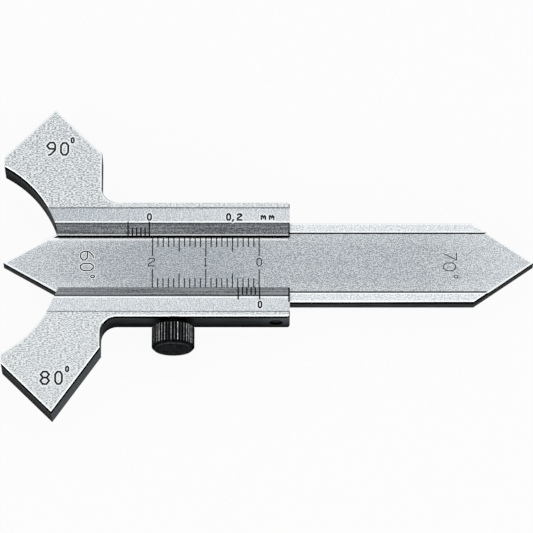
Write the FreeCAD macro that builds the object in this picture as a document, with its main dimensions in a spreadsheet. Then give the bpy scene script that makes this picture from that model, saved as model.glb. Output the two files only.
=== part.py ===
import FreeCAD, Part
import os

import Sketcher

# Sliding weld gauge with two verniers. The frame: X runs along the slide towards its 70 degree tip,
# Y across it towards the 90 degree wing, Z out of the reading face. The origin lies in the back face,
# on the slide's centre line, where the lock screw's axis crosses it.

SIZES = {
    # Body: a plate with two wings in front and two rails behind
    "body_thickness": 6.3,
    "body_length": 53.71,
    "body_width": 22.72,
    "zero_to_lock": 31.92,
    "web_thickness": 1.25,
    "end_corner_radius": 0.55,
    "edge_break": 0.15,
    # Wings: both front flanks point at the root of a right-angled corner
    "root_distance": 20.6,
    "root_angle": 90,
    "wing_width": 18.41,
    "upper_apex": 9.49,
    "upper_wing_angle": 90,
    "lower_apex": 9.48,
    "lower_wing_angle": 80,
    "wing_root_radius": 3,
    "mouth_radius": 21.2,
    "mouth_setback": 10.2,
    # Reading strips, bevelled vernier lips and the window between them
    "strip_width": 2.92,
    "strip_depth": 0.12,
    "window_width": 10.24,
    "bevel_width": 2.23,
    "bevel_depth": 1.06,
    "lip_break": 0.2,
    # Slide
    "slide_length": 99.4,
    "slide_width": 15.8,
    "slide_thickness": 3.1,
    "guide_width": 1.88,
    "guide_height": 0.14,
    "front_tip_angle": 60,
    "rear_tip_angle": 70,
    "running_clearance": 0.03,
    "side_clearance": 0.04,
    # Gib strip in a recess of the channel's lower wall
    "gib_thickness": 0.5,
    "gib_height": 2.6,
    "gib_lead": 6,
    "gib_setback": 0.39,
    "gib_play": 0.05,
    # Lock screw, turned and knurled in one piece
    "thread_diameter": 3,
    "thread_clearance": 0.03,
    "point_diameter": 2.2,
    "point_length": 0.4,
    "collar_diameter": 5,
    "collar_length": 0.69,
    "seat_gap": 0.05,
    "head_diameter": 8,
    "head_length": 4.6,
    "head_chamfer": 0.45,
    "knurl_teeth": 40,
    "knurl_depth": 0.26,
    "knurl_mouth_share": 0.84,
    "knurl_floor_share": 0.24,
    # Set screw that keeps the gib strip in place
    "set_screw_diameter": 2.5,
    "set_screw_to_end": 2.57,
    "set_screw_recess": 0.35,
    "set_point_diameter": 1,
    "set_point_length": 0.3,
    "slot_width": 0.4,
    "slot_depth": 0.6,
}

document = FreeCAD.newDocument("weld_gauge")
sheet = document.addObject("Spreadsheet::Sheet", "dims")
for row, (alias, value) in enumerate(SIZES.items(), start=1):
    sheet.set("A%d" % row, alias)
    sheet.set("B%d" % row, str(value))
    sheet.setAlias("B%d" % row, alias)
document.recompute()

# Places that several pieces share, as formulas on the sheet
ZERO = "-dims.zero_to_lock"
BODY_END = "(dims.body_length - dims.zero_to_lock)"
WING_END = "(dims.wing_width - dims.zero_to_lock)"
SLIDE_BOTTOM = "(dims.web_thickness + dims.running_clearance)"
LIP_UNDERSIDE = "(" + SLIDE_BOTTOM + " + dims.slide_thickness + dims.running_clearance)"
STRIP_LEVEL = "(dims.body_thickness - dims.strip_depth)"
CHANNEL_SIDE = "(dims.slide_width / 2 + dims.side_clearance)"
RECESS_SIDE = "(" + CHANNEL_SIDE + " + dims.gib_thickness)"
RAIL_SIDE = "(dims.body_width / 2)"
RAIL_WALL = "(" + RAIL_SIDE + " - " + RECESS_SIDE + ")"
SCREW_LEVEL = "(" + SLIDE_BOTTOM + " + dims.slide_thickness / 2)"
SET_SCREW_X = "(" + BODY_END + " - dims.set_screw_to_end)"
GIB_REAR = "(" + BODY_END + " - dims.gib_setback)"
GIB_LEVEL = "(dims.web_thickness + dims.gib_play + dims.gib_height / 2)"


def number(formula):
    """The present value of a formula on the sheet."""
    value = sheet.evalExpression(formula)
    return float(getattr(value, "Value", value))


def new_body(label):
    body = document.addObject("PartDesign::Body", label)
    body.Label = label
    return body


def new_sketch(body, name, plane, offset=None):
    """A sketch on one of the body's own origin planes, moved along the plane's normal."""
    sketch = body.newObject("Sketcher::SketchObject", name)
    support = [f for f in body.Origin.OriginFeatures if f.Role == plane][0]
    sketch.AttachmentSupport = [(support, "")]
    sketch.MapMode = "FlatFace"
    if offset:
        sketch.setExpression("AttachmentOffset.Base.z", offset)
    document.recompute()
    return sketch


def place_point(sketch, geometry, vertex, across, up, name):
    """Hold one vertex at a place that is given by two formulas."""
    for kind, formula in (("DistanceX", across), ("DistanceY", up)):
        value = number(formula)
        index = sketch.addConstraint(Sketcher.Constraint(kind, -1, 1, geometry, vertex, value))
        sketch.renameConstraint(index, name + kind)
        sketch.setExpression("Constraints." + name + kind, formula)


def draw_outline(sketch, corners, name="p"):
    """A closed outline of straight lines through corners given as pairs of formulas."""
    places = [FreeCAD.Vector(number(across), number(up), 0) for across, up in corners]
    first = sketch.GeometryCount
    for index, start in enumerate(places):
        sketch.addGeometry(Part.LineSegment(start, places[(index + 1) % len(places)]))
    for index in range(len(places)):
        following = first + (index + 1) % len(places)
        sketch.addConstraint(Sketcher.Constraint("Coincident", first + index, 2, following, 1))
    for index, (across, up) in enumerate(corners):
        place_point(sketch, first + index, 1, across, up, "%s%d" % (name, index))


def draw_circle(sketch, across, up, diameter, name):
    """A circle whose centre and diameter are formulas."""
    centre = FreeCAD.Vector(number(across), number(up), 0)
    size = number(diameter)
    circle = sketch.addGeometry(Part.Circle(centre, FreeCAD.Vector(0, 0, 1), size / 2))
    place_point(sketch, circle, 3, across, up, name)
    index = sketch.addConstraint(Sketcher.Constraint("Diameter", circle, size))
    sketch.renameConstraint(index, name + "Diameter")
    sketch.setExpression("Constraints." + name + "Diameter", diameter)


def add_pad(body, name, sketch, length):
    pad = body.newObject("PartDesign::Pad", name)
    pad.Profile = sketch
    pad.setExpression("Length", length)
    document.recompute()
    return pad


def add_pocket(body, name, sketch, length=None, reverse=False):
    """Cut a sketch away over a length, or right through both ways, and test that it did cut."""
    before = body.Shape.Volume
    pocket = body.newObject("PartDesign::Pocket", name)
    pocket.Profile = sketch
    if length:
        pocket.setExpression("Length", length)
        pocket.Reversed = reverse
    else:
        pocket.Type = "ThroughAll"
        pocket.Midplane = True
    document.recompute()
    if body.Shape.Volume >= before:
        raise RuntimeError(name + " removes nothing")
    return pocket


def add_revolution(body, name, sketch):
    """Turn a sketch of the XZ plane once round the body's Z axis."""
    turned = body.newObject("PartDesign::Revolution", name)
    turned.Profile = sketch
    axis = [f for f in body.Origin.OriginFeatures if f.Role == "Z_Axis"][0]
    turned.ReferenceAxis = (axis, [""])
    turned.Angle = 360
    document.recompute()
    return turned


def flat_faces_at(feature, level):
    """Names of the level faces of a feature that lie at one height."""
    names = []
    for index, face in enumerate(feature.Shape.Faces, start=1):
        box = face.BoundBox
        if box.ZLength < 1e-6 and abs(box.ZMin - level) < 1e-6:
            names.append("Face%d" % index)
    return names


def upright_edges_at(feature, across, up):
    """Names of the edges along Z that stand at a given place."""
    names = []
    for index, edge in enumerate(feature.Shape.Edges, start=1):
        box = edge.BoundBox
        off = max(abs(box.XMin - across), abs(box.XMax - across), abs(box.YMin - up), abs(box.YMax - up))
        if off < 1e-6:
            names.append("Edge%d" % index)
    return names


def add_round(body, name, base, edges, radius):
    rounded = body.newObject("PartDesign::Fillet", name)
    rounded.Base = (base, edges)
    rounded.setExpression("Radius", radius)
    document.recompute()
    return rounded


def add_edge_break(body, name, base, levels):
    """A small chamfer round the whole outline of the faces at the given heights."""
    faces = [face for level in levels for face in flat_faces_at(base, level)]
    broken = body.newObject("PartDesign::Chamfer", name)
    broken.Base = (base, faces)
    broken.setExpression("Size", "dims.edge_break")
    document.recompute()
    return broken


def make_gauge_body():
    """The body, one milled plate: wings, rails, web and the two bevelled vernier lips."""
    body = new_body("gauge_body")
    half_root = "tan(dims.root_angle / 2)"

    # Plan outline: one line per edge, clockwise from the upper measuring flat
    flat_top = "(dims.root_distance * " + half_root + ")"
    apexes = {}
    heels = {}
    for side in ("upper", "lower"):
        apex = "dims." + side + "_apex"
        apexes[side] = "((dims.root_distance + " + apex + ") * " + half_root + ")"
        back_slope = "tan(180 - dims." + side + "_wing_angle - dims.root_angle / 2)"
        heels[side] = "(" + apexes[side] + " - (dims.wing_width - " + apex + ") * " + back_slope + ")"
    outline = new_sketch(body, "outline", "XY_Plane")
    draw_outline(outline, [
        (ZERO, flat_top),
        (ZERO + " + dims.upper_apex", apexes["upper"]),
        (WING_END, heels["upper"]),
        (WING_END, RAIL_SIDE),
        (BODY_END, RAIL_SIDE),
        (BODY_END, "-" + RAIL_SIDE),
        (WING_END, "-" + RAIL_SIDE),
        (WING_END, "-" + heels["lower"]),
        (ZERO + " + dims.lower_apex", "-" + apexes["lower"]),
        (ZERO, "-" + flat_top),
    ])
    add_pad(body, "plate", outline, "dims.body_thickness")

    # Mouth: one bore takes the front of the wings, rails and web back in a common arc
    mouth = new_sketch(body, "mouth_circle", "XY_Plane")
    draw_circle(mouth, ZERO + " - dims.mouth_setback", "0", "2 * dims.mouth_radius", "mouth")
    plate = add_pocket(body, "mouth", mouth)

    # Rounds where the wings meet the rails and at the rear corners
    rail = number(RAIL_SIDE)
    roots = []
    rear = []
    for side in (rail, -rail):
        roots += upright_edges_at(plate, number(WING_END), side)
    free_wall = "(min(" + heels["upper"] + "; " + heels["lower"] + ") - " + RAIL_SIDE + ")"
    root_round = "min(dims.wing_root_radius; " + free_wall + " - dims.edge_break)"
    plate = add_round(body, "wing_roots", plate, roots, root_round)
    for side in (rail, -rail):
        rear += upright_edges_at(plate, number(BODY_END), side)
    plate = add_round(body, "rear_corners", plate, rear, "dims.end_corner_radius")
    add_edge_break(body, "outline_edges", plate, (0, number("dims.body_thickness")))

    # Reading strips: the middle of the face is ground a little lower than the wings
    strip_side = "(dims.window_width / 2 + dims.bevel_width + dims.strip_width)"
    strips = new_sketch(body, "strip_area", "XY_Plane", "dims.body_thickness")
    draw_outline(strips, [
        (ZERO, "-" + strip_side),
        (BODY_END, "-" + strip_side),
        (BODY_END, strip_side),
        (ZERO, strip_side),
    ])
    add_pocket(body, "reading_strips", strips, "dims.strip_depth")

    # Channel: undercut slot for the slide, under two lips with a long bevel towards the scale, whose
    # sharp foot is broken
    window = "(dims.window_width / 2)"
    bevel_foot = "(" + STRIP_LEVEL + " - dims.bevel_depth)"
    bevel_top = "(dims.window_width / 2 + dims.bevel_width)"
    half = [
        (CHANNEL_SIDE, "dims.web_thickness"),
        (CHANNEL_SIDE, LIP_UNDERSIDE),
        (window, LIP_UNDERSIDE),
        (window, bevel_foot + " - dims.lip_break"),
        ("(" + window + " + dims.lip_break)", bevel_foot),
        (bevel_top, STRIP_LEVEL),
        (bevel_top, "dims.body_thickness"),
    ]
    section = new_sketch(body, "channel_section", "YZ_Plane")
    draw_outline(section, half + [("-" + across, up) for across, up in reversed(half)])
    add_pocket(body, "channel", section)

    # Recess for the gib strip in the lower wall of the channel
    recess = new_sketch(body, "recess_area", "XY_Plane", "dims.web_thickness")
    recess_front = "(-dims.gib_lead - dims.gib_play)"
    recess_rear = "(" + GIB_REAR + " + dims.gib_play)"
    draw_outline(recess, [
        (recess_front, "-" + RECESS_SIDE),
        (recess_rear, "-" + RECESS_SIDE),
        (recess_rear, "-" + CHANNEL_SIDE),
        (recess_front, "-" + CHANNEL_SIDE),
    ])
    add_pocket(body, "gib_recess", recess, "dims.gib_height + 2 * dims.gib_play", reverse=True)

    # Cross holes for the lock screw and the set screw, from the lower rail's outer side
    holes = new_sketch(body, "screw_holes", "XZ_Plane", RAIL_SIDE)
    draw_circle(holes, "0", SCREW_LEVEL, "dims.thread_diameter + 2 * dims.thread_clearance", "lock")
    bore = "dims.set_screw_diameter + 2 * dims.thread_clearance"
    draw_circle(holes, SET_SCREW_X, SCREW_LEVEL, bore, "seat")
    add_pocket(body, "cross_holes", holes, RAIL_WALL)
    return body


def make_slide():
    """The measuring slide: a flat bar with a 60 and a 70 degree point and two raised guide strips."""
    body = new_body("measuring_slide")
    side = "(dims.slide_width / 2)"
    front = "(" + side + " / tan(dims.front_tip_angle / 2))"
    rear = "(dims.slide_length - " + side + " / tan(dims.rear_tip_angle / 2))"
    outline = new_sketch(body, "slide_outline", "XY_Plane")
    draw_outline(outline, [
        ("0", "0"),
        (front, side),
        (rear, side),
        ("dims.slide_length", "0"),
        (rear, "-" + side),
        (front, "-" + side),
    ])
    bar = add_pad(body, "bar", outline, "dims.slide_thickness")
    add_edge_break(body, "bar_edges", bar, (0, number("dims.slide_thickness")))

    # Scale face: ground lower than the guide strips along the whole bar
    inner = "(" + side + " - dims.guide_width)"
    scale = new_sketch(body, "scale_area", "XY_Plane", "dims.slide_thickness")
    draw_outline(scale, [
        ("0", "-" + inner),
        ("dims.slide_length", "-" + inner),
        ("dims.slide_length", inner),
        ("0", inner),
    ])
    add_pocket(body, "scale_face", scale, "dims.guide_height")
    body.setExpression(".Placement.Base.x", ZERO)
    body.setExpression(".Placement.Base.z", SLIDE_BOTTOM)
    return body


def make_gib_strip():
    """The gib strip, a flat spring leaf between the screws and the slide's lower edge."""
    body = new_body("gib_strip")
    leaf = new_sketch(body, "leaf_outline", "XZ_Plane")
    low = "-dims.gib_height / 2"
    high = "dims.gib_height / 2"
    draw_outline(leaf, [("-dims.gib_lead", low), (GIB_REAR, low), (GIB_REAR, high), ("-dims.gib_lead", high)])
    add_pad(body, "leaf", leaf, "dims.gib_thickness")

    # Hole that the set screw's point stands in, so that the leaf can't wander
    seat = new_sketch(body, "point_seat", "XZ_Plane", "dims.gib_thickness")
    seat_height = SCREW_LEVEL + " - " + GIB_LEVEL
    draw_circle(seat, SET_SCREW_X, seat_height, "dims.set_point_diameter + 2 * dims.gib_play", "seat")
    add_pocket(body, "seat_hole", seat, "dims.gib_thickness")
    body.setExpression(".Placement.Base.y", "-" + CHANNEL_SIDE)
    body.setExpression(".Placement.Base.z", GIB_LEVEL)
    return body


def turn_outwards(body, across):
    """Stand a turned piece on the lower rail's outer side, its Z axis pointing away from the rail."""
    outwards = FreeCAD.Rotation(FreeCAD.Vector(1, 0, 0), 90)
    body.Placement = FreeCAD.Placement(FreeCAD.Vector(0, 0, 0), outwards)
    body.setExpression(".Placement.Base.x", across)
    body.setExpression(".Placement.Base.y", "-" + RAIL_SIDE)
    body.setExpression(".Placement.Base.z", SCREW_LEVEL)


def make_lock_screw():
    """The lock screw: shank, collar and a cylindrical head with a straight knurl."""
    body = new_body("lock_screw")
    head_foot = "(dims.seat_gap + dims.collar_length)"
    head_end = "(" + head_foot + " + dims.head_length)"
    shank = "(dims.thread_diameter / 2)"
    head = "(dims.head_diameter / 2)"
    tip = "(-" + RAIL_WALL + " + dims.seat_gap)"
    profile = new_sketch(body, "screw_profile", "XZ_Plane")
    draw_outline(profile, [
        ("0", tip),
        ("dims.point_diameter / 2", tip),
        (shank, tip + " + dims.point_length"),
        (shank, "dims.seat_gap"),
        ("dims.collar_diameter / 2", "dims.seat_gap"),
        ("dims.collar_diameter / 2", head_foot),
        (head + " - dims.head_chamfer", head_foot),
        (head, head_foot + " + dims.head_chamfer"),
        (head, head_end + " - dims.head_chamfer"),
        (head + " - dims.head_chamfer", head_end),
        ("0", head_end),
    ])
    add_revolution(body, "turned_screw", profile)

    # Straight knurl: one groove with sloping sides, repeated round the head
    groove = new_sketch(body, "knurl_groove", "XY_Plane", head_end)
    pitch = "(pi * dims.head_diameter / dims.knurl_teeth)"
    floor = "(" + head + " - dims.knurl_depth)"
    half_floor = "(dims.knurl_floor_share * " + pitch + " / 2)"
    half_mouth = "(dims.knurl_mouth_share * " + pitch + " / 2)"
    draw_outline(groove, [
        (floor, "-" + half_floor),
        (head, "-" + half_mouth),
        (head + " + dims.knurl_depth", "-" + half_mouth),
        (head + " + dims.knurl_depth", half_mouth),
        (head, half_mouth),
        (floor, half_floor),
    ])
    cut = add_pocket(body, "first_groove", groove, "dims.head_length")
    knurl = body.newObject("PartDesign::PolarPattern", "knurl")
    knurl.Originals = [cut]
    axis = [f for f in body.Origin.OriginFeatures if f.Role == "Z_Axis"][0]
    knurl.Axis = (axis, [""])
    knurl.Angle = 360
    knurl.setExpression("Occurrences", "dims.knurl_teeth")
    body.Tip = knurl
    document.recompute()
    turn_outwards(body, "0")
    return body


def make_set_screw():
    """The headless set screw near the rear end, with a slot outside and a dog point inside."""
    body = new_body("gib_set_screw")
    thread = "(dims.set_screw_diameter / 2)"
    point = "(dims.set_point_diameter / 2)"
    profile = new_sketch(body, "set_screw_profile", "XZ_Plane")
    shoulder = "(-" + RAIL_WALL + " + dims.gib_play)"
    point_end = "(-" + RAIL_WALL + " - dims.set_point_length)"
    draw_outline(profile, [
        ("0", point_end),
        (point, point_end),
        (point, shoulder),
        (thread, shoulder),
        (thread, "-dims.set_screw_recess"),
        ("0", "-dims.set_screw_recess"),
    ])
    add_revolution(body, "turned_set_screw", profile)

    # Driver slot across the outer end
    slot = new_sketch(body, "slot_area", "XY_Plane", "-dims.set_screw_recess")
    draw_outline(slot, [
        ("-" + thread, "-dims.slot_width / 2"),
        (thread, "-dims.slot_width / 2"),
        (thread, "dims.slot_width / 2"),
        ("-" + thread, "dims.slot_width / 2"),
    ])
    add_pocket(body, "driver_slot", slot, "dims.slot_depth")
    turn_outwards(body, SET_SCREW_X)
    return body


pieces = [make_gauge_body(), make_slide(), make_gib_strip(), make_lock_screw(), make_set_screw()]
document.recompute()

for item in document.Objects:
    if "Invalid" in item.State or "Error" in item.State:
        raise RuntimeError(item.Name + " failed: " + ", ".join(item.State))
for piece in pieces:
    if piece.Shape.isNull() or not piece.Shape.isValid() or len(piece.Shape.Solids) != 1:
        raise RuntimeError(piece.Label + " is not one valid solid")

os.makedirs("parts", exist_ok=True)
for piece in pieces:
    piece.Shape.exportStep("parts/" + piece.Label + ".step")
    box = piece.Shape.BoundBox
    print(piece.Label, "volume %.2f" % piece.Shape.Volume,
          "X %.2f %.2f" % (box.XMin, box.XMax),
          "Y %.2f %.2f" % (box.YMin, box.YMax),
          "Z %.2f %.2f" % (box.ZMin, box.ZMax))
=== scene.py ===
import math

import bmesh
import bpy
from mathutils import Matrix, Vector


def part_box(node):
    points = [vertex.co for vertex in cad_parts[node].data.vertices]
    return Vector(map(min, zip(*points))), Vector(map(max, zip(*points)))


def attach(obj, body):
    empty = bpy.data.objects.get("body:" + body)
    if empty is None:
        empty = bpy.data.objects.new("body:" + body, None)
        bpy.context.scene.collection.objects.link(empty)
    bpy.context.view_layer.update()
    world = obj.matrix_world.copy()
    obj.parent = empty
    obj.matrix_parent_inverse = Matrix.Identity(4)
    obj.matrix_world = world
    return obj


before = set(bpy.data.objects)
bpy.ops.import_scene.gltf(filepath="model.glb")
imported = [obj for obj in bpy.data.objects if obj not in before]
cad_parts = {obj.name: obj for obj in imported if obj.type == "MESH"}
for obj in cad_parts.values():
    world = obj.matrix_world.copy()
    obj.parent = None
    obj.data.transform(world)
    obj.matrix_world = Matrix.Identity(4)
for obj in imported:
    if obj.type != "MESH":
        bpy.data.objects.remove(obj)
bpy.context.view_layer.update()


# Viewpoint: the gauge is seen face on from 0.9 m through a long lens, tipped 20 degrees so that
# the lower side faces and the lock screw's end show. The frame is taken as 533 x 533 pixels.
MM = 0.001
body_low, body_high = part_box("gauge_body")
plate_level = body_high[2]
view_tilt = math.radians(20)
view_distance = 0.9
view_target = Vector((17.44 * MM, -1.47 * MM, plate_level))
frame_pixels = 533
pixels_per_mm = 5.3475
sensor_width = 36

camera_data = bpy.data.cameras.new("view_camera")
camera_data.sensor_width = sensor_width
camera_data.sensor_fit = "HORIZONTAL"
camera_data.lens = pixels_per_mm / MM * view_distance * sensor_width / frame_pixels
camera_data.clip_start = 0.05
camera_data.clip_end = 20
camera = bpy.data.objects.new("view_camera", camera_data)
camera.location = view_target + view_distance * Vector((0, -math.sin(view_tilt), math.cos(view_tilt)))
camera.rotation_euler = (view_tilt, 0, 0)
bpy.context.scene.collection.objects.link(camera)
bpy.context.scene.camera = camera
bpy.context.scene.view_settings.view_transform = "Standard"


# Gauge body: one stainless steel plate, milled out for the slide. Wings and the outer edges of the
# rails are blasted to a coarse satin grain, the reading strips are ground fine, the long bevels of
# the vernier lips keep their lengthwise grinding marks, and the sides keep their milling marks under
# a painted dark shade.
class Wire:
    """One socket of a finish's nodes, so that shader maths reads as plain Python."""

    def __init__(self, tree, socket):
        self.tree = tree
        self.socket = socket

    def maths(self, operation, first, second):
        node = self.tree.nodes.new("ShaderNodeMath")
        node.operation = operation
        for slot, value in zip(node.inputs, (first, second)):
            if isinstance(value, Wire):
                self.tree.links.new(value.socket, slot)
            else:
                slot.default_value = value
        return Wire(self.tree, node.outputs[0])

    def __add__(self, other):
        return self.maths("ADD", self, other)

    def __radd__(self, other):
        return self.maths("ADD", other, self)

    def __sub__(self, other):
        return self.maths("SUBTRACT", self, other)

    def __rsub__(self, other):
        return self.maths("SUBTRACT", other, self)

    def __mul__(self, other):
        return self.maths("MULTIPLY", self, other)

    def __rmul__(self, other):
        return self.maths("MULTIPLY", other, self)

    def __truediv__(self, other):
        return self.maths("DIVIDE", self, other)

    def __pow__(self, other):
        return self.maths("POWER", self, other)

    def __gt__(self, other):
        return self.maths("GREATER_THAN", self, other)

    def __lt__(self, other):
        return self.maths("LESS_THAN", self, other)

    def __abs__(self):
        return self.maths("ABSOLUTE", self, 0)


class Finish:
    """A surface finish: the nodes that vary it, and the surface that they feed."""

    def __init__(self, name):
        self.material = bpy.data.materials.new(name)
        self.material.use_nodes = True
        self.tree = self.material.node_tree
        self.tree.nodes.clear()

    def node(self, kind, settings, values, output=0):
        """One output of a new node, after its settings and its sockets' values or links."""
        node = self.tree.nodes.new(kind)
        for name, value in settings.items():
            setattr(node, name, value)
        for name, value in values.items():
            if isinstance(value, Wire):
                self.tree.links.new(value.socket, node.inputs[name])
            else:
                node.inputs[name].default_value = value
        return Wire(self.tree, node.outputs[output])

    def place(self):
        """Where a point lies on the piece, in metres along X, Y and Z."""
        spot = self.node("ShaderNodeTexCoord", {}, {}, "Object")
        return [self.node("ShaderNodeSeparateXYZ", {}, {"Vector": spot}, axis) for axis in "XYZ"]

    def facing(self):
        """How far the surface faces along X, Y and Z."""
        normal = self.node("ShaderNodeNewGeometry", {}, {}, "True Normal")
        return [self.node("ShaderNodeSeparateXYZ", {}, {"Vector": normal}, axis) for axis in "XYZ"]

    def grain(self, size, gain, detail, seed):
        """Noise from 0 to 1 around a half, whose grains have this size in mm along X, Y and Z."""
        spot = self.node("ShaderNodeTexCoord", {}, {}, "Object")
        stretch = tuple(1 / (length * MM) for length in size)
        scaled = self.node("ShaderNodeVectorMath", {"operation": "MULTIPLY"}, {0: spot, 1: stretch})
        moved = self.node("ShaderNodeVectorMath", {"operation": "ADD"}, {0: scaled, 1: (seed, seed, seed)})
        values = {"Vector": moved, "Scale": 1.0, "Detail": detail, "Roughness": 0.6}
        noise = self.node("ShaderNodeTexNoise", {"noise_dimensions": "3D"}, values)
        return self.fade(noise, 0.5 - 0.5 / gain, 0.5 + 0.5 / gain)

    def fade(self, value, start, end):
        """A share that rises from 0 at start to 1 at end."""
        return self.node("ShaderNodeMapRange", {"clamp": True}, {0: value, 1: start, 2: end})

    def blend(self, share, low, high):
        """A colour between two others, through the Mix node's colour sockets 6 and 7 and output 2."""
        return self.node("ShaderNodeMix", {"data_type": "RGBA"}, {0: share, 6: low, 7: high}, 2)

    def coats(self, colour, *layers):
        """A colour under further ones, each given as the share that it covers and the colour."""
        for share, coat in layers:
            colour = self.blend(share, colour, coat)
        return colour

    def bump(self, height, depth, strength):
        return self.node("ShaderNodeBump", {}, {"Height": height, "Distance": depth, "Strength": strength})

    def close(self, surface):
        output = self.tree.nodes.new("ShaderNodeOutputMaterial")
        self.tree.links.new(surface.socket, output.inputs["Surface"])

    def principled(self, sockets):
        self.close(self.node("ShaderNodeBsdfPrincipled", {}, sockets))

    def dress(self, node_name):
        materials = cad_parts[node_name].data.materials
        materials.clear()
        materials.append(self.material)


def steel(value):
    """Stainless steel's colour at a brightness: cooler than grey, and most so at about a quarter."""
    coolness = 4 * value * (1 - value) ** 3
    return (value * (0.968 - 0.2 * coolness), value, value * (1.026 + 0.2 * coolness), 1)


bright = steel(1.0)
black = steel(0.002)

# Distances of the body's lines from the middle of the slide, going outwards
lip_edge = 5.12 * MM
bevel_foot = 5.32 * MM
bevel_top = 7.35 * MM
rail_inner = 8.2 * MM
strip_outer = 10.27 * MM
rail_side = 11.36 * MM
ledge_outer = 11.5 * MM

# Levels; what faces up below the lips' limit is the floor of the channel
strip_level = plate_level - 0.12 * MM
foot_level = strip_level - 1.06 * MM
lip_limit = foot_level - 0.3 * MM
holes_low = 0.5 * MM
back_limit = 0.3 * MM

# Places along the body, and the wings' own sizes
rear_end = body_high[0]
holes_front = -4 * MM
holes_rear = rear_end - 1 * MM
ledge_front = -12 * MM
wing_end = -13.51 * MM
apex_x = -22.43 * MM
root_radius = 3 * MM
mouth_radius = 21.2 * MM
mouth_centre_x = body_low[0] - 10.2 * MM
heel_slope = math.tan(math.radians(55))

# A face is flat where its normal's share along Z is over the first of these, an edge break where it
# is between the two, and a side where it is under the second
flat_turn = 0.9
edge_turn = 0.5

body_finish = Finish("blasted_and_ground_steel")
x, y, z = body_finish.place()
turn_x, turn_y, turn_z = body_finish.facing()
across = abs(y)
upper = y > 0
lower = 1 - upper

# Which face a point lies on, as 1 there and 0 elsewhere; a hole's walls are told from the rail's
# own sides by not facing along Y
faces_up = turn_z > edge_turn
on_top = turn_z > flat_turn
in_strip = (across < strip_outer) * (across > bevel_top) * on_top
on_lip = (across < bevel_top) * (z > lip_limit) * faces_up
in_bevel = on_lip * (across > bevel_foot)
in_foot = on_lip * (across < bevel_foot)
on_ledge = (across > strip_outer) * (across < ledge_outer) * (x > ledge_front) * on_top
on_edge = faces_up * (turn_z < flat_turn) * (across > strip_outer)
on_back = (turn_z < -edge_turn) * (z < back_limit)
on_side = 1 - faces_up * (z > lip_limit) - on_back
near_holes = (x > holes_front) * (x < holes_rear) * (y < -rail_inner) * (z > holes_low)
in_hole = near_holes * (abs(turn_y) < 0.5)
# A narrow band of the faces at the rear end is painted dark as painted shade
rear_band = (0.3 - 0.06 * upper) * MM
rear_band_outer = bevel_top + 1.1 * MM * lower
rear_end_shade = (x > rear_end - rear_band) * (across < rear_band_outer) * faces_up

# What the tools left: blasted grain, ground grain, long grinding marks and milling marks, and the
# patches of the painted shade on the strips' step
blast = body_finish.grain((0.42, 0.17, 0.17), gain=8, detail=0, seed=0)
ground = body_finish.grain((0.24, 0.2, 0.2), gain=5, detail=0, seed=13)
streaks = body_finish.grain((16, 0.26, 0.26), gain=6, detail=0, seed=21)
milling = body_finish.grain((5, 0.5, 0.5), gain=3, detail=3, seed=33)
step_shade_patches = body_finish.grain((6, 0.5, 0.5), gain=2.5, detail=2, seed=27)
brighter_rearwards = body_finish.fade(x, -24 * MM, 10 * MM)

# A painted highlight: a fine bright line on the face along its outline
line_reach = 0.36 * MM
mouth_line_reach = 0.28 * MM
past_root = x - wing_end - root_radius
above_root = across - rail_side - root_radius
past_mouth = x - mouth_centre_x
at_front = across - x > body_high[1] - apex_x - line_reach * math.sqrt(2)
at_back_90 = upper * (x < wing_end) * (across + x > body_high[1] + apex_x - line_reach * math.sqrt(2))
at_back_80 = lower * (x < wing_end) * (
    across + heel_slope * x > body_high[1] + heel_slope * apex_x - line_reach * math.hypot(1, heel_slope))
at_wing_end = (x > wing_end - line_reach) * (across > rail_side + root_radius)
at_rail_side = lower * (x > wing_end + root_radius) * (across > rail_side - line_reach)
at_root = (past_root * past_root + above_root * above_root) ** 0.5 < root_radius + line_reach
at_mouth = (past_mouth * past_mouth + y * y) ** 0.5 < mouth_radius + mouth_line_reach
outline_highlight = on_top * (across > bevel_top) * (
    at_front + at_back_90 + at_back_80 + at_wing_end + at_rail_side + at_root + at_mouth)

# Wings and ledges: bright blasted grains on a darker ground
wing_colour = body_finish.blend(1.4 * blast + 0.13 + 0.1 * lower, steel(0.3), bright)
ledge_colour = body_finish.blend(1.1 * blast + 0.16 + 0.1 * upper, steel(0.4), bright)

# Reading strips: a painted highlight along the inner edge, and uneven painted shade on the step
# along the outer one
strip_share = 0.65 * ground + upper * (0.32 * brighter_rearwards - 0.07)
strip_share = strip_share + lower * (0.3 - 0.06 * brighter_rearwards)
strip_colour = body_finish.blend(strip_share, steel(0.38), steel(0.88))
strip_inner_highlight = in_strip * (across < bevel_top + 0.26 * MM)
step_middle = strip_outer + (0.1 - 0.07 * upper) * MM
step_line_half = 0.1 * MM
step_shade_line = (abs(across - step_middle) < step_line_half) * (turn_z > -edge_turn)

# Vernier bevels: streaked lengthwise, with a shaded top. The upper lip's foot has a painted
# highlight above painted black shade on its break, and the lower lip's foot is painted grey as
# painted shade.
near_foot = across < bevel_foot + 0.5 * MM
near_strip = across > bevel_foot + 1.2 * MM
bevel_share = 0.4 * streaks + 0.7 * ground - 0.22 + lower * (0.34 * streaks + 0.3)
bevel_share = bevel_share - upper * (0.25 * near_foot + 0.08 * near_strip)
bevel_colour = body_finish.blend(bevel_share, steel(0.15), steel(0.64))
bevel_shade = in_bevel * (across > bevel_top - (0.42 - 0.22 * upper) * MM)
foot_highlight = (z > foot_level - 0.1 * MM) * (across < bevel_foot + 0.08 * MM) * on_lip * upper
foot_shade_colour = body_finish.blend(upper, steel(0.5), steel(0.004))
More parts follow.
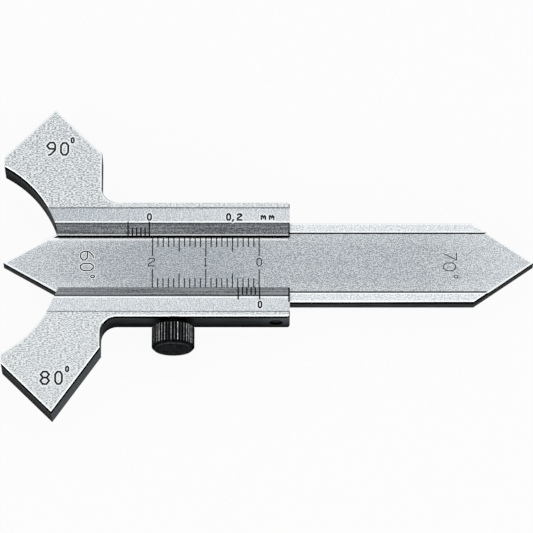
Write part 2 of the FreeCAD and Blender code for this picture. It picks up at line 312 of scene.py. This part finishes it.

# Sides: milling marks under a painted dark shade, darker towards the back as painted shadow and a
# little lighter towards the rear end. The lower wing's rear side is blasted and painted lighter as
# painted light. Painted black shade covers the upper wing's rear side, a band under the edge break,
# the channel's walls and the screw holes. The channel's floor is milled bright.
shaded_milled_side = body_finish.blend(milling, steel(0.03), steel(0.085))
lit_blasted_side = body_finish.blend(blast, steel(0.085), steel(0.145))
milled_floor = body_finish.blend(milling, steel(0.2), steel(0.45))
even_rearwards = body_finish.fade(x, 4 * MM, 24 * MM)
lighter_rear_end = (0.35 + 0.65 * milling) * body_finish.fade(x, 16 * MM, 21 * MM)
shade_towards_back = body_finish.fade(z, 5 * MM, 0.2 * MM)
lower_wing_rear = lower * (turn_x > 0.3) * (across > 15 * MM)
upper_wing_rear = upper * (turn_x > 0.9) * (across > 14 * MM)
lower_on_wings = 0.3 * MM * (across > 12 * MM)
under_edge = body_finish.fade(z + lower_on_wings, plate_level - 1.2 * MM, plate_level - 0.8 * MM)
channel_wall = across < 6 * MM
channel_floor = faces_up * (z < lip_limit) * (across < 8 * MM)
side_colour = body_finish.coats(
    shaded_milled_side,
    (even_rearwards, steel(0.07)),
    (lighter_rear_end, steel(0.18)),
    (shade_towards_back, steel(0.004)),
    (lower_wing_rear, lit_blasted_side),
    (upper_wing_rear, black),
    (under_edge, black),
    (channel_wall + in_hole, black),
    (channel_floor, milled_floor),
)

# Edge breaks: a painted highlight, with painted black shade on the lower half where they face the
# near side, painted grey shade in the upper wing's root and painted dark shade where they face
# rearwards
lower_half = (z < plate_level - 0.09 * MM) * (turn_y < 0)
near_root = upper * (x > wing_end - 0.2 * MM) * (x < wing_end + root_radius) * (y > rail_side)
edge_colour = body_finish.coats(
    bright,
    (lower_half, black),
    (near_root * (turn_y > 0.05), steel(0.35)),
    ((turn_x > 0.6) * (1 - near_root), steel(0.1)),
)

colour = body_finish.coats(
    wing_colour,
    (on_ledge, ledge_colour),
    (outline_highlight, bright),
    (in_strip, strip_colour),
    (strip_inner_highlight, bright),
    ((0.45 + 0.4 * step_shade_patches) * step_shade_line, steel(0.06)),
    (in_bevel, bevel_colour),
    ((0.75 - 0.1 * upper) * bevel_shade, steel(0.06)),
    (in_foot, foot_shade_colour),
    (0.85 * foot_highlight, bright),
    (on_edge, edge_colour),
    (rear_end_shade, steel(0.01)),
    (on_side, side_colour),
)

# The painted black shade under the edge and in the holes is dull, so that it mirrors nothing
dull = on_side * (under_edge + in_hole * (1 - under_edge))
grained = 1 - in_strip - on_lip
relief = blast * grained + 0.4 * streaks * in_bevel
body_finish.principled({
    "Base Color": colour,
    "Metallic": 1 - dull,
    "Specular Tint": (0.4, 0.4, 0.4, 1),
    "Specular IOR Level": 0.0,
    "Roughness": 0.46 - 0.1 * in_strip - 0.08 * in_bevel - 0.2 * on_edge + 0.08 * (blast - 0.5),
    "Normal": body_finish.bump(relief, depth=0.015 * MM, strength=0.3),
})
body_finish.dress("gauge_body")


# Marks on the body: the verniers on the two bevels and the figures beside them, and the angle of
# each wing. They are engraved with a round cutter along single lines and filled with black lacquer,
# and the burr that the cutter raised round the figures is drawn bright as a painted highlight.

# A figure is a list of lines through points of a box one wide and one high; "shut" closes a line
FIGURES = {
    "0": [[(0.3, 0), (0, 0.22), (0, 0.78), (0.3, 1), (0.7, 1), (1, 0.78), (1, 0.22), (0.7, 0), "shut"]],
    "1": [[(0.1, 0.88), (0.5, 1), (0.5, 0)], [(0.05, 0), (0.95, 0)]],
    "2": [[(0.02, 0.84), (0.3, 1), (0.75, 1), (1, 0.84), (1, 0.7), (0.1, 0.32), (0, 0.2), (0, 0), (1, 0)]],
    "6": [[(0.72, 1), (0.48, 0.96), (0.05, 0.67), (0, 0.5), (0, 0.2), (0.3, 0), (0.7, 0),
           (1, 0.17), (1, 0.36), (0.73, 0.53), (0.03, 0.53)]],
    "7": [[(0, 1), (1, 1), (0.06, 0)]],
    "8": [[(0.3, 1), (0.72, 1), (0.98, 0.76), (0.72, 0.52), (0.3, 0.52), (0.04, 0.76), "shut"],
          [(0.3, 0.52), (0.72, 0.52), (1, 0.27), (0.72, 0), (0.28, 0), (0, 0.27), "shut"]],
    "9": [[(0.27, 0), (0.5, 0.07), (0.98, 0.4), (1, 0.8), (0.8, 1), (0.35, 1), (0, 0.74),
           (0.3, 0.5), (0.98, 0.49)]],
    ",": [[(1, 1), (0, 0)]],
    "m": [[(0.05, 0), (0, 0.95)], [(0.03, 0.72), (0.28, 1), (0.52, 0.42), (0.76, 1), (1, 0.78), (0.97, 0)]],
}

# How far an inlay stands out and how deep it reaches, the share by which each point of a line rises
# more than the one before, and the limit that keeps the mitre of a sharp corner short
inlay_rise = 0.004 * MM
inlay_depth = 0.02 * MM
rise_step = 0.05
least_lean = 0.45


class Surface:
    """A flat stretch of a piece, with its own two directions, that marks are cut into."""

    def __init__(self, corner, along, up):
        self.corner = Vector(corner)
        self.along = Vector(along).normalized()
        self.up = Vector(up).normalized()
        self.out = self.along.cross(self.up)

    def point(self, across, up, level):
        return self.corner + across * self.along + up * self.up + level * self.out


def cut_line(mesh, surface, points, width, shut=False, rise=inlay_rise):
    """One engraved line of constant width through flat points, as a thin closed inlay.

    Its top rises a little from point to point, so that no two stretches of it share a plane.
    """
    flat = [Vector(p) for p in points]
    count = len(flat)
    pairs = []
    for index, here in enumerate(flat):
        before = flat[index - 1] if shut or index > 0 else None
        after = flat[(index + 1) % count] if shut or index < count - 1 else None
        towards = (here - before).normalized() if before is not None else None
        away = (after - here).normalized() if after is not None else None
        middle = ((towards or away) + (away or towards)).normalized()
        side = Vector((-middle.y, middle.x))
        lean = side.dot(Vector((-(away or towards).y, (away or towards).x)))
        reach = width / 2 / max(lean, least_lean)
        tail = Vector((0, 0))
        if towards is None:
            tail = -away * width / 2
        elif away is None:
            tail = towards * width / 2
        pairs.append((here + tail + side * reach, here + tail - side * reach))
    rings = []
    for index, (left, right) in enumerate(pairs):
        top = rise * (1 + rise_step * index)
        rings.append([mesh.verts.new(surface.point(p.x, p.y, level)) for p, level in
                      ((left, top), (right, top), (right, -inlay_depth), (left, -inlay_depth))])
    for index in range(count if shut else count - 1):
        one, two = rings[index], rings[(index + 1) % count]
        for corner in range(4):
            following = (corner + 1) % 4
            mesh.faces.new((one[following], one[corner], two[corner], two[following]))
    if not shut:
        mesh.faces.new(rings[0])
        mesh.faces.new(reversed(rings[-1]))


def cut_figure(mesh, surface, figure, left, right, foot, top, line_width, burr, rise):
    """One figure whose strokes fill this box, all in mm, or the burr that reaches past them."""
    for line in FIGURES[figure]:
        shut = line[-1] == "shut"
        path = []
        for px, py in line[:-1] if shut else line:
            path.append(((left + line_width / 2 + px * (right - left - line_width)) * MM,
                         (foot + line_width / 2 + py * (top - foot - line_width)) * MM))
        cut_line(mesh, surface, path, (line_width + 2 * burr) * MM, shut, rise)


def finish_marks(mesh, name, body, finish):
    """Turns the cut marks into a piece that rides on this body."""
    bmesh.ops.recalc_face_normals(mesh, faces=mesh.faces)
    data = bpy.data.meshes.new(name)
    mesh.to_mesh(data)
    mesh.free()
    piece = bpy.data.objects.new(name, data)
    bpy.context.scene.collection.objects.link(piece)
    data.materials.append(finish.material)
    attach(piece, body)


steel_slots = {"body": "body_steel", "slide": "slide_steel"}
# The burr round the figures: bright steel with glints, a painted highlight
burr_highlight_steel = Finish("bright_burr_highlight")
glints = burr_highlight_steel.grain((0.3, 0.3, 0.3), gain=4, detail=2, seed=7)
burr_highlight_steel.principled({
    "Base Color": burr_highlight_steel.blend(glints, steel(0.92), bright),
    "Metallic": 1.0,
    "Roughness": 0.44 + 0.04 * glints,
})


def engrave(name, body, surface, ink, figures, burr):
    """Inked figures and, where it shows, the burr that the cutter raised round them, bright as a painted
    highlight.
    """
    cuts = [(name, ink, "screw_black", 0, inlay_rise)]
    if burr:
        cuts.append((name + "_burr", burr_highlight_steel, steel_slots[body], burr, inlay_rise / 2))
    for piece, finish, slot, reach, rise in cuts:
        marks = bmesh.new()
        for figure in figures:
            cut_figure(marks, surface, *figure, reach, rise)
        finish_marks(marks, piece, body, finish)


lacquer = Finish("black_lacquer")
wear = lacquer.grain((0.3, 0.3, 0.3), gain=1.5, detail=2, seed=5)
lacquer.principled({
    "Base Color": lacquer.blend(wear, steel(0.004), steel(0.02)),
    "Roughness": 0.5,
    "Specular IOR Level": 0.1,
})

# Wing angles, cut largest of all; each degree ring is a small nought in a finer line. The numbers of
# a figure are its left, right, foot and top and the width of its line, in mm.
plate_face = Surface((0, 0, plate_level), (1, 0, 0), (0, 1, 0))
wing_figure_burr = 0.26
for name, figures in (
    ("wing_angle_90", (
        ("9", -24.17, -22.24, 20.72, 23.6, 0.37), ("0", -21.52, -19.78, 20.74, 23.54, 0.37),
        ("0", -19.56, -18.76, 23.25, 24.53, 0.31))),
    ("wing_angle_80", (
        ("8", -24.7, -22.68, -24.84, -22.04, 0.37), ("0", -21.94, -20.32, -24.82, -22.06, 0.37),
        ("0", -19.96, -19.18, -22.34, -21.08, 0.3))),
):
    engrave(name, "body", plate_face, lacquer, figures, wing_figure_burr)

# Verniers: five divisions of 0.8 mm each, running forward from their noughts
strip_face = Surface((0, 0, strip_level), (1, 0, 0), (0, 1, 0))
foot_face = Surface((0, 0, foot_level), (1, 0, 0), (0, 1, 0))
division = 0.8
divisions = 5
bevel_run = bevel_top - bevel_foot
bevel_fall = strip_level - foot_level
slope_length = math.hypot(bevel_run, bevel_fall)
vernier_line = 0.28 * MM
line_gap = 0.1 * MM
foot_start = lip_edge + 0.02 * MM + vernier_line / 2
for name, side, zero, short_share, past_top in (
    ("throat_vernier", 1, -4.54, 0.56, 0.02 * MM),
    ("height_vernier", -1, 16.16, 0.78, 0.5 * MM),
):
    slope = Surface((0, side * bevel_foot, foot_level), (side, 0, 0), (0, side * bevel_run, bevel_fall))
    strip_end = side * (bevel_top + past_top)
    marks = bmesh.new()
    for step in range(divisions + 1):
        line_x = (zero - step * division) * MM
        end_line = step in (0, divisions)
        top = slope_length if end_line else slope_length * short_share
        cut_line(marks, slope, [(side * line_x, 0), (side * line_x, top - line_gap)], vernier_line)
        cut_line(marks, foot_face, [(line_x, side * foot_start), (line_x, side * bevel_foot)], vernier_line)
        if end_line:
            cut_line(marks, strip_face, [(line_x, side * bevel_top), (line_x, strip_end)], vernier_line)
    finish_marks(marks, name, "body", lacquer)

# Figures on the reading strips
strip_figure_burr = 0.22
for name, figures in (
    ("upper_strip_figures", (
        ("0", -5.03, -4.05, 7.7, 9.25, 0.32), ("0", 9.84, 10.82, 7.7, 9.25, 0.33),
        (",", 10.9, 11.38, 7.5, 8.08, 0.33), ("2", 11.83, 12.93, 7.72, 9.24, 0.33),
        ("m", 16.3, 17.4, 7.84, 8.86, 0.27), ("m", 17.84, 18.96, 7.84, 8.86, 0.27))),
    ("lower_strip_figure", (("0", 15.77, 16.67, -9.73, -8.21, 0.31),)),
):
    engrave(name, "body", strip_face, lacquer, figures, strip_figure_burr)


# Measuring slide: a ground flat bar. The guide strips along its edges are lapped bright, the scale
# face between them is a little lower and ground to a dull satin, and the sides are painted dark as
# painted shade.
slide_low, slide_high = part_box("measuring_slide")
guide_level = slide_high[2]
scale_drop = 0.14 * MM
scale_level = guide_level - scale_drop
guide_inner = 6.02 * MM
front_half_angle = math.radians(30)
rear_half_angle = math.radians(35)

slide_finish = Finish("ground_slide_steel")
x, y, z = slide_finish.place()
turn_x, turn_y, turn_z = slide_finish.facing()
across = abs(y)
upper = y > 0
faces_up = turn_z > edge_turn
on_top = turn_z > flat_turn
on_edge = faces_up * (turn_z < flat_turn)
on_side = abs(turn_z) < edge_turn
between_guides = across < guide_inner
on_guide = (across > guide_inner) * faces_up
face_level = guide_level - scale_drop * between_guides
satin = slide_finish.grain((0.2, 0.2, 0.2), gain=7, detail=0, seed=3)
lapping = slide_finish.grain((0.28, 0.2, 0.2), gain=6, detail=0, seed=9)
milling = slide_finish.grain((5, 0.5, 0.5), gain=3, detail=3, seed=31)

# Scale face: painted sheen towards both tips and along the guide strips, and the face beyond the
# body painted lighter, as painted light
beyond_body = slide_finish.fade(x, 8 * MM, 20 * MM)
rear_tip_sheen = 0.33 * slide_finish.fade(x, 46 * MM, 68 * MM)
front_tip_sheen = 0.46 * slide_finish.fade(x, -4 * MM, -34 * MM)
edge_sheen_strength = 0.14 + 0.14 * upper * (1 - beyond_body) + 0.2 * slide_finish.fade(x, -4 * MM, -20 * MM)
edge_sheen = slide_finish.fade(across, 3 * MM, 6 * MM) * edge_sheen_strength
painted_sheen = rear_tip_sheen + front_tip_sheen + edge_sheen
scale_share = 0.7 * satin - 0.16 + 0.17 * beyond_body + painted_sheen
scale_colour = slide_finish.blend(scale_share, steel(0.33), steel(0.9))

# Guide strips: lapped, with painted shade in the corner where they rise and a painted highlight
# along both of their edges and along the tips
guide_colour = slide_finish.blend(lapping, steel(0.57), steel(0.91))
corner_width = (0.38 - 0.12 * upper) * MM
corner_shade = between_guides * (across > guide_inner - corner_width) * faces_up
inner_edge_highlight = across < guide_inner + 0.2 * MM
outer_edge_highlight = (1 - 0.5 * upper) * (across > slide_high[1] - 0.36 * MM)
guide_edge_highlight = on_guide * (inner_edge_highlight + outer_edge_highlight)
rear_flank = (slide_high[0] - x) * math.tan(rear_half_angle) - across
front_flank = (x - slide_low[0]) * math.tan(front_half_angle) - across
tip_highlight = ((rear_flank < 0.4 * MM) + (front_flank < 0.38 * MM)) * on_top

# Beside the upper lip's edge the slide has a painted highlight, and a painted shadow in the gap under it
highlight_inner = 4.5 * MM
shadow_inner = 4.99 * MM
shadow_outer = 5.4 * MM
beside_lip = upper * (x < rear_end - 0.3 * MM) * on_top
lip_highlight = beside_lip * (across > highlight_inner) * (across < shadow_inner)
lip_shadow = beside_lip * (across > shadow_inner) * (across < shadow_outer)

# Sides and edge breaks: sides painted dark as painted shade and edge breaks bright as a painted
# highlight, with painted black shade in the line under the edge break and in its lower half where it
# faces the near side
under_edge = on_side * slide_finish.fade(z - face_level, -1.1 * MM, -0.75 * MM)
shaded_milled_side = slide_finish.blend(milling, steel(0.03), steel(0.08))
side_colour = slide_finish.blend(under_edge, shaded_milled_side, black)
bright_height = (0.08 - 0.05 * slide_finish.fade(x, 34 * MM, 50 * MM)) * MM
lower_half = (z < face_level - bright_height) * (turn_y < 0)
edge_colour = slide_finish.blend(lower_half, bright, black)

colour = slide_finish.coats(
    scale_colour,
    (lip_highlight, bright),
    (lip_shadow, black),
    (on_guide, guide_colour),
    ((0.9 + 0.1 * upper) * corner_shade, steel(0.01)),
    (guide_edge_highlight + tip_highlight, bright),
    (on_edge, edge_colour),
    (on_side, side_colour),
)
slide_finish.principled({
    "Base Color": colour,
    "Metallic": 1 - under_edge,
    "Specular Tint": (0.4, 0.4, 0.4, 1),
    "Specular IOR Level": 0.0,
    "Roughness": 0.42 - 0.1 * on_guide - 0.1 * on_edge + 0.06 * (satin - 0.5),
    "Normal": slide_finish.bump(satin, depth=0.01 * MM, strength=0.3),
})
slide_finish.dress("measuring_slide")

# Scale: 20 mm along both edges of the scale face, with longer lines at 5 and 10 mm. Each line runs
# from the end for its rank to the scale's outer side.
scale_face = Surface((0, 0, scale_level), (1, 0, 0), (0, 1, 0))
scale_ink = Finish("scale_ink")
wear = scale_ink.grain((0.25, 0.25, 0.25), gain=1.5, detail=2, seed=11)
scale_ink.principled({
    "Base Color": scale_ink.blend(wear, steel(0.004), steel(0.03)),
    "Roughness": 0.55,
    "Specular IOR Level": 0.1,
})
scale_zero = 16.06
scale_length = 20
scale_outer = 5.4 * MM
scale_line = 0.21 * MM
for name, side, inner_ends in (
    ("throat_scale", 1, {1: 3.27, 5: 2.35, 10: 1.5}),
    ("height_scale", -1, {1: 3.15, 5: 2.18, 10: 1.36}),
):
    marks = bmesh.new()
    for tick in range(scale_length + 1):
        line_x = (scale_zero - tick) * MM
        rank = 10 if tick % 10 == 0 else 5 if tick % 5 == 0 else 1
        inner = inner_ends[rank] * MM
        cut_line(marks, scale_face, [(line_x, side * inner), (line_x, side * scale_outer)], scale_line)
    finish_marks(marks, name, "slide", scale_ink)

# The scale's figures and the 70 degree tip's have no burr that shows
no_burr = 0
engrave("scale_figures", "slide", scale_face, scale_ink, (
    ("2", -4.78, -3.44, -0.7, 1.03, 0.19), ("1", 5.68, 6.36, -0.7, 1.03, 0.19),
    ("0", 15.55, 16.57, -0.7, 1.03, 0.2)), no_burr)

# Tip angles, which read with the 70 degree tip upwards
turned_face = Surface((0, 0, scale_level), (0, -1, 0), (1, 0, 0))
for name, burr, figures in (
    ("tip_angle_60", 0.14, (
        ("6", -2.42, -0.46, -17.57, -14.92, 0.24), ("0", 0.0, 1.62, -17.57, -14.92, 0.24),
        ("0", 2.36, 3.04, -15.6, -14.66, 0.22))),
    ("tip_angle_70", no_burr, (
        ("7", -2.02, -0.5, 50.57, 53.18, 0.17), ("0", -0.07, 1.65, 50.57, 52.95, 0.17),
        ("0", 2.36, 3.08, 52.56, 53.36, 0.15))),
):
    engrave(name, "slide", turned_face, scale_ink, figures, burr)


# Lock screw: turned steel, blackened after knurling. Finger and thumb have worn the black off the
# crests of the straight knurl, where bare steel glints; the teeth that face sideways are kept black as
# painted shade.
screw_low, screw_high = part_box("lock_screw")
screw_axis_level = (screw_low[2] + screw_high[2]) / 2
knurl_end = screw_low[1] + 0.65 * MM
crest_radius = 3.95 * MM
knurl_teeth = 40

screw_finish = Finish("blackened_steel")
x, y, z = screw_finish.place()
height = z - screw_axis_level
radius = (x * x + height * height) ** 0.5
sideways = abs(x) / radius
patches = screw_finish.grain((0.4, 0.4, 0.4), gain=5, detail=2, seed=19)
glint = screw_finish.grain((0.3, 0.5, 0.3), gain=5, detail=2, seed=23)
crest = (radius > crest_radius) * (y > knurl_end)
turn = screw_finish.node("ShaderNodeMath", {"operation": "ARCTAN2"}, {0: x, 1: height})
teeth_round = turn * (knurl_teeth / (2 * math.pi))
tooth = screw_finish.node("ShaderNodeMath", {"operation": "FLOOR"}, {0: teeth_round})
off_middle = abs(teeth_round - tooth - 0.5)

# The wear changes from tooth to tooth in no plain order
wear_order = 0.608 * tooth * tooth + 0.27 * tooth + 0.11
worn_off = screw_finish.node("ShaderNodeMath", {"operation": "FRACT"}, {0: wear_order})
worn_crest = crest * (off_middle < 0.19 + 0.12 * sideways)
outside_side_shade = screw_finish.fade(sideways, 0.93, 0.86)
bare = worn_crest * (0.1 + 0.9 * worn_off) * (0.35 + 0.65 * glint) * outside_side_shade
skin = screw_finish.blend(patches, steel(0.006), steel(0.018))
end_skin = screw_finish.blend(patches, steel(0.03), steel(0.075))
on_end = y < screw_low[1] + 0.1 * MM
screw_finish.principled({
    "Base Color": screw_finish.coats(skin, (on_end, end_skin), (bare, bright)),
    "Metallic": 1.0,
    "Specular Tint": (0.2, 0.2, 0.2, 1),
    "Roughness": 0.42 - 0.12 * crest,
})
screw_finish.dress("lock_screw")


# Gib strip: a leaf of rolled brass that lies loose in its recess in the lower rail, between the
# screws and the slide. It takes up the slide's play and passes on the lock screw's grip.
brass = Finish("rolled_brass")
rolling = brass.grain((4, 0.1, 0.1), gain=2, detail=2, seed=2)
brass.principled({
    "Base Color": brass.blend(rolling, (0.5, 0.36, 0.15, 1), (0.75, 0.58, 0.3, 1)),
    "Metallic": 1.0,
    "Roughness": 0.3 + 0.15 * rolling,
})
brass.dress("gib_strip")


# Set screw: a small slotted screw, blackened all over, in the hole near the rear end. Its point
# enters the gib strip, which then can't wander along the rail.
set_screw_finish = Finish("dark_set_screw")
turning = set_screw_finish.grain((0.3, 0.3, 0.3), gain=2, detail=2, seed=4)
set_screw_finish.principled({
    "Base Color": set_screw_finish.blend(turning, steel(0.004), steel(0.015)),
    "Specular IOR Level": 0.1,
    "Roughness": 0.4 + 0.1 * turning,
})
set_screw_finish.dress("gib_set_screw")


# Table: a white sheet that the lock screw's head touches. It shows as white to the eye and in the
# metal, and keeps a soft shadow under the gauge.
table_level = screw_low[2]
table_reach = 6
table_mesh = bmesh.new()
for corner in ((-1, -1), (1, -1), (1, 1), (-1, 1)):
    table_mesh.verts.new((corner[0] * table_reach, corner[1] * table_reach, table_level))
table_mesh.faces.new(table_mesh.verts)
table_data = bpy.data.meshes.new("table_sheet")
table_mesh.to_mesh(table_data)
table_mesh.free()
table = bpy.data.objects.new("table_sheet", table_data)
bpy.context.scene.collection.objects.link(table)
paper = Finish("white_paper")
seen = paper.node("ShaderNodeLightPath", {}, {}, "Is Camera Ray")
for ray in ("Is Glossy Ray", "Is Transmission Ray"):
    seen = seen + paper.node("ShaderNodeLightPath", {}, {}, ray)
matt = paper.node("ShaderNodeBsdfDiffuse", {}, {"Color": (1, 1, 1, 1)})
white = paper.node("ShaderNodeEmission", {}, {"Color": (1, 1, 1, 1)})
whiteness = 0.92
paper.close(paper.node("ShaderNodeMixShader", {}, {0: whiteness * seen, 1: matt, 2: white}))
table_data.materials.append(paper.material)


# Light: a large soft panel overhead, leaning over the far side, three low strips round the near side
# that catch the edge breaks, and an even grey room.
def add_panel(name, place, size, radiance):
    """A rectangular lamp, sized in metres, that faces the gauge."""
    lamp = bpy.data.lights.new(name, "AREA")
    lamp.shape = "RECTANGLE"
    lamp.size, lamp.size_y = size
    lamp.energy = radiance * math.pi * size[0] * size[1]
    panel = bpy.data.objects.new(name, lamp)
    panel.location = place
    aim = Vector((view_target.x, 0, 0)) - Vector(place)
    panel.rotation_euler = aim.to_track_quat("-Z", "Y").to_euler()
    bpy.context.scene.collection.objects.link(panel)


add_panel("overhead_panel", (0.02, 0.36, 0.95), size=(1.1, 0.8), radiance=0.66)
for name, place in (
    ("near_strip", (0.02, -1.0, 0.38)),
    ("left_strip", (-0.9, -0.55, 0.3)),
    ("right_strip", (1.0, -0.38, 0.26)),
):
    add_panel(name, place, size=(1.1, 0.36), radiance=1.3)

room = bpy.data.worlds.new("grey_room")
room.use_nodes = True
room.node_tree.nodes["Background"].inputs["Color"].default_value = (0.5, 0.5, 0.5, 1)
bpy.context.scene.world = room
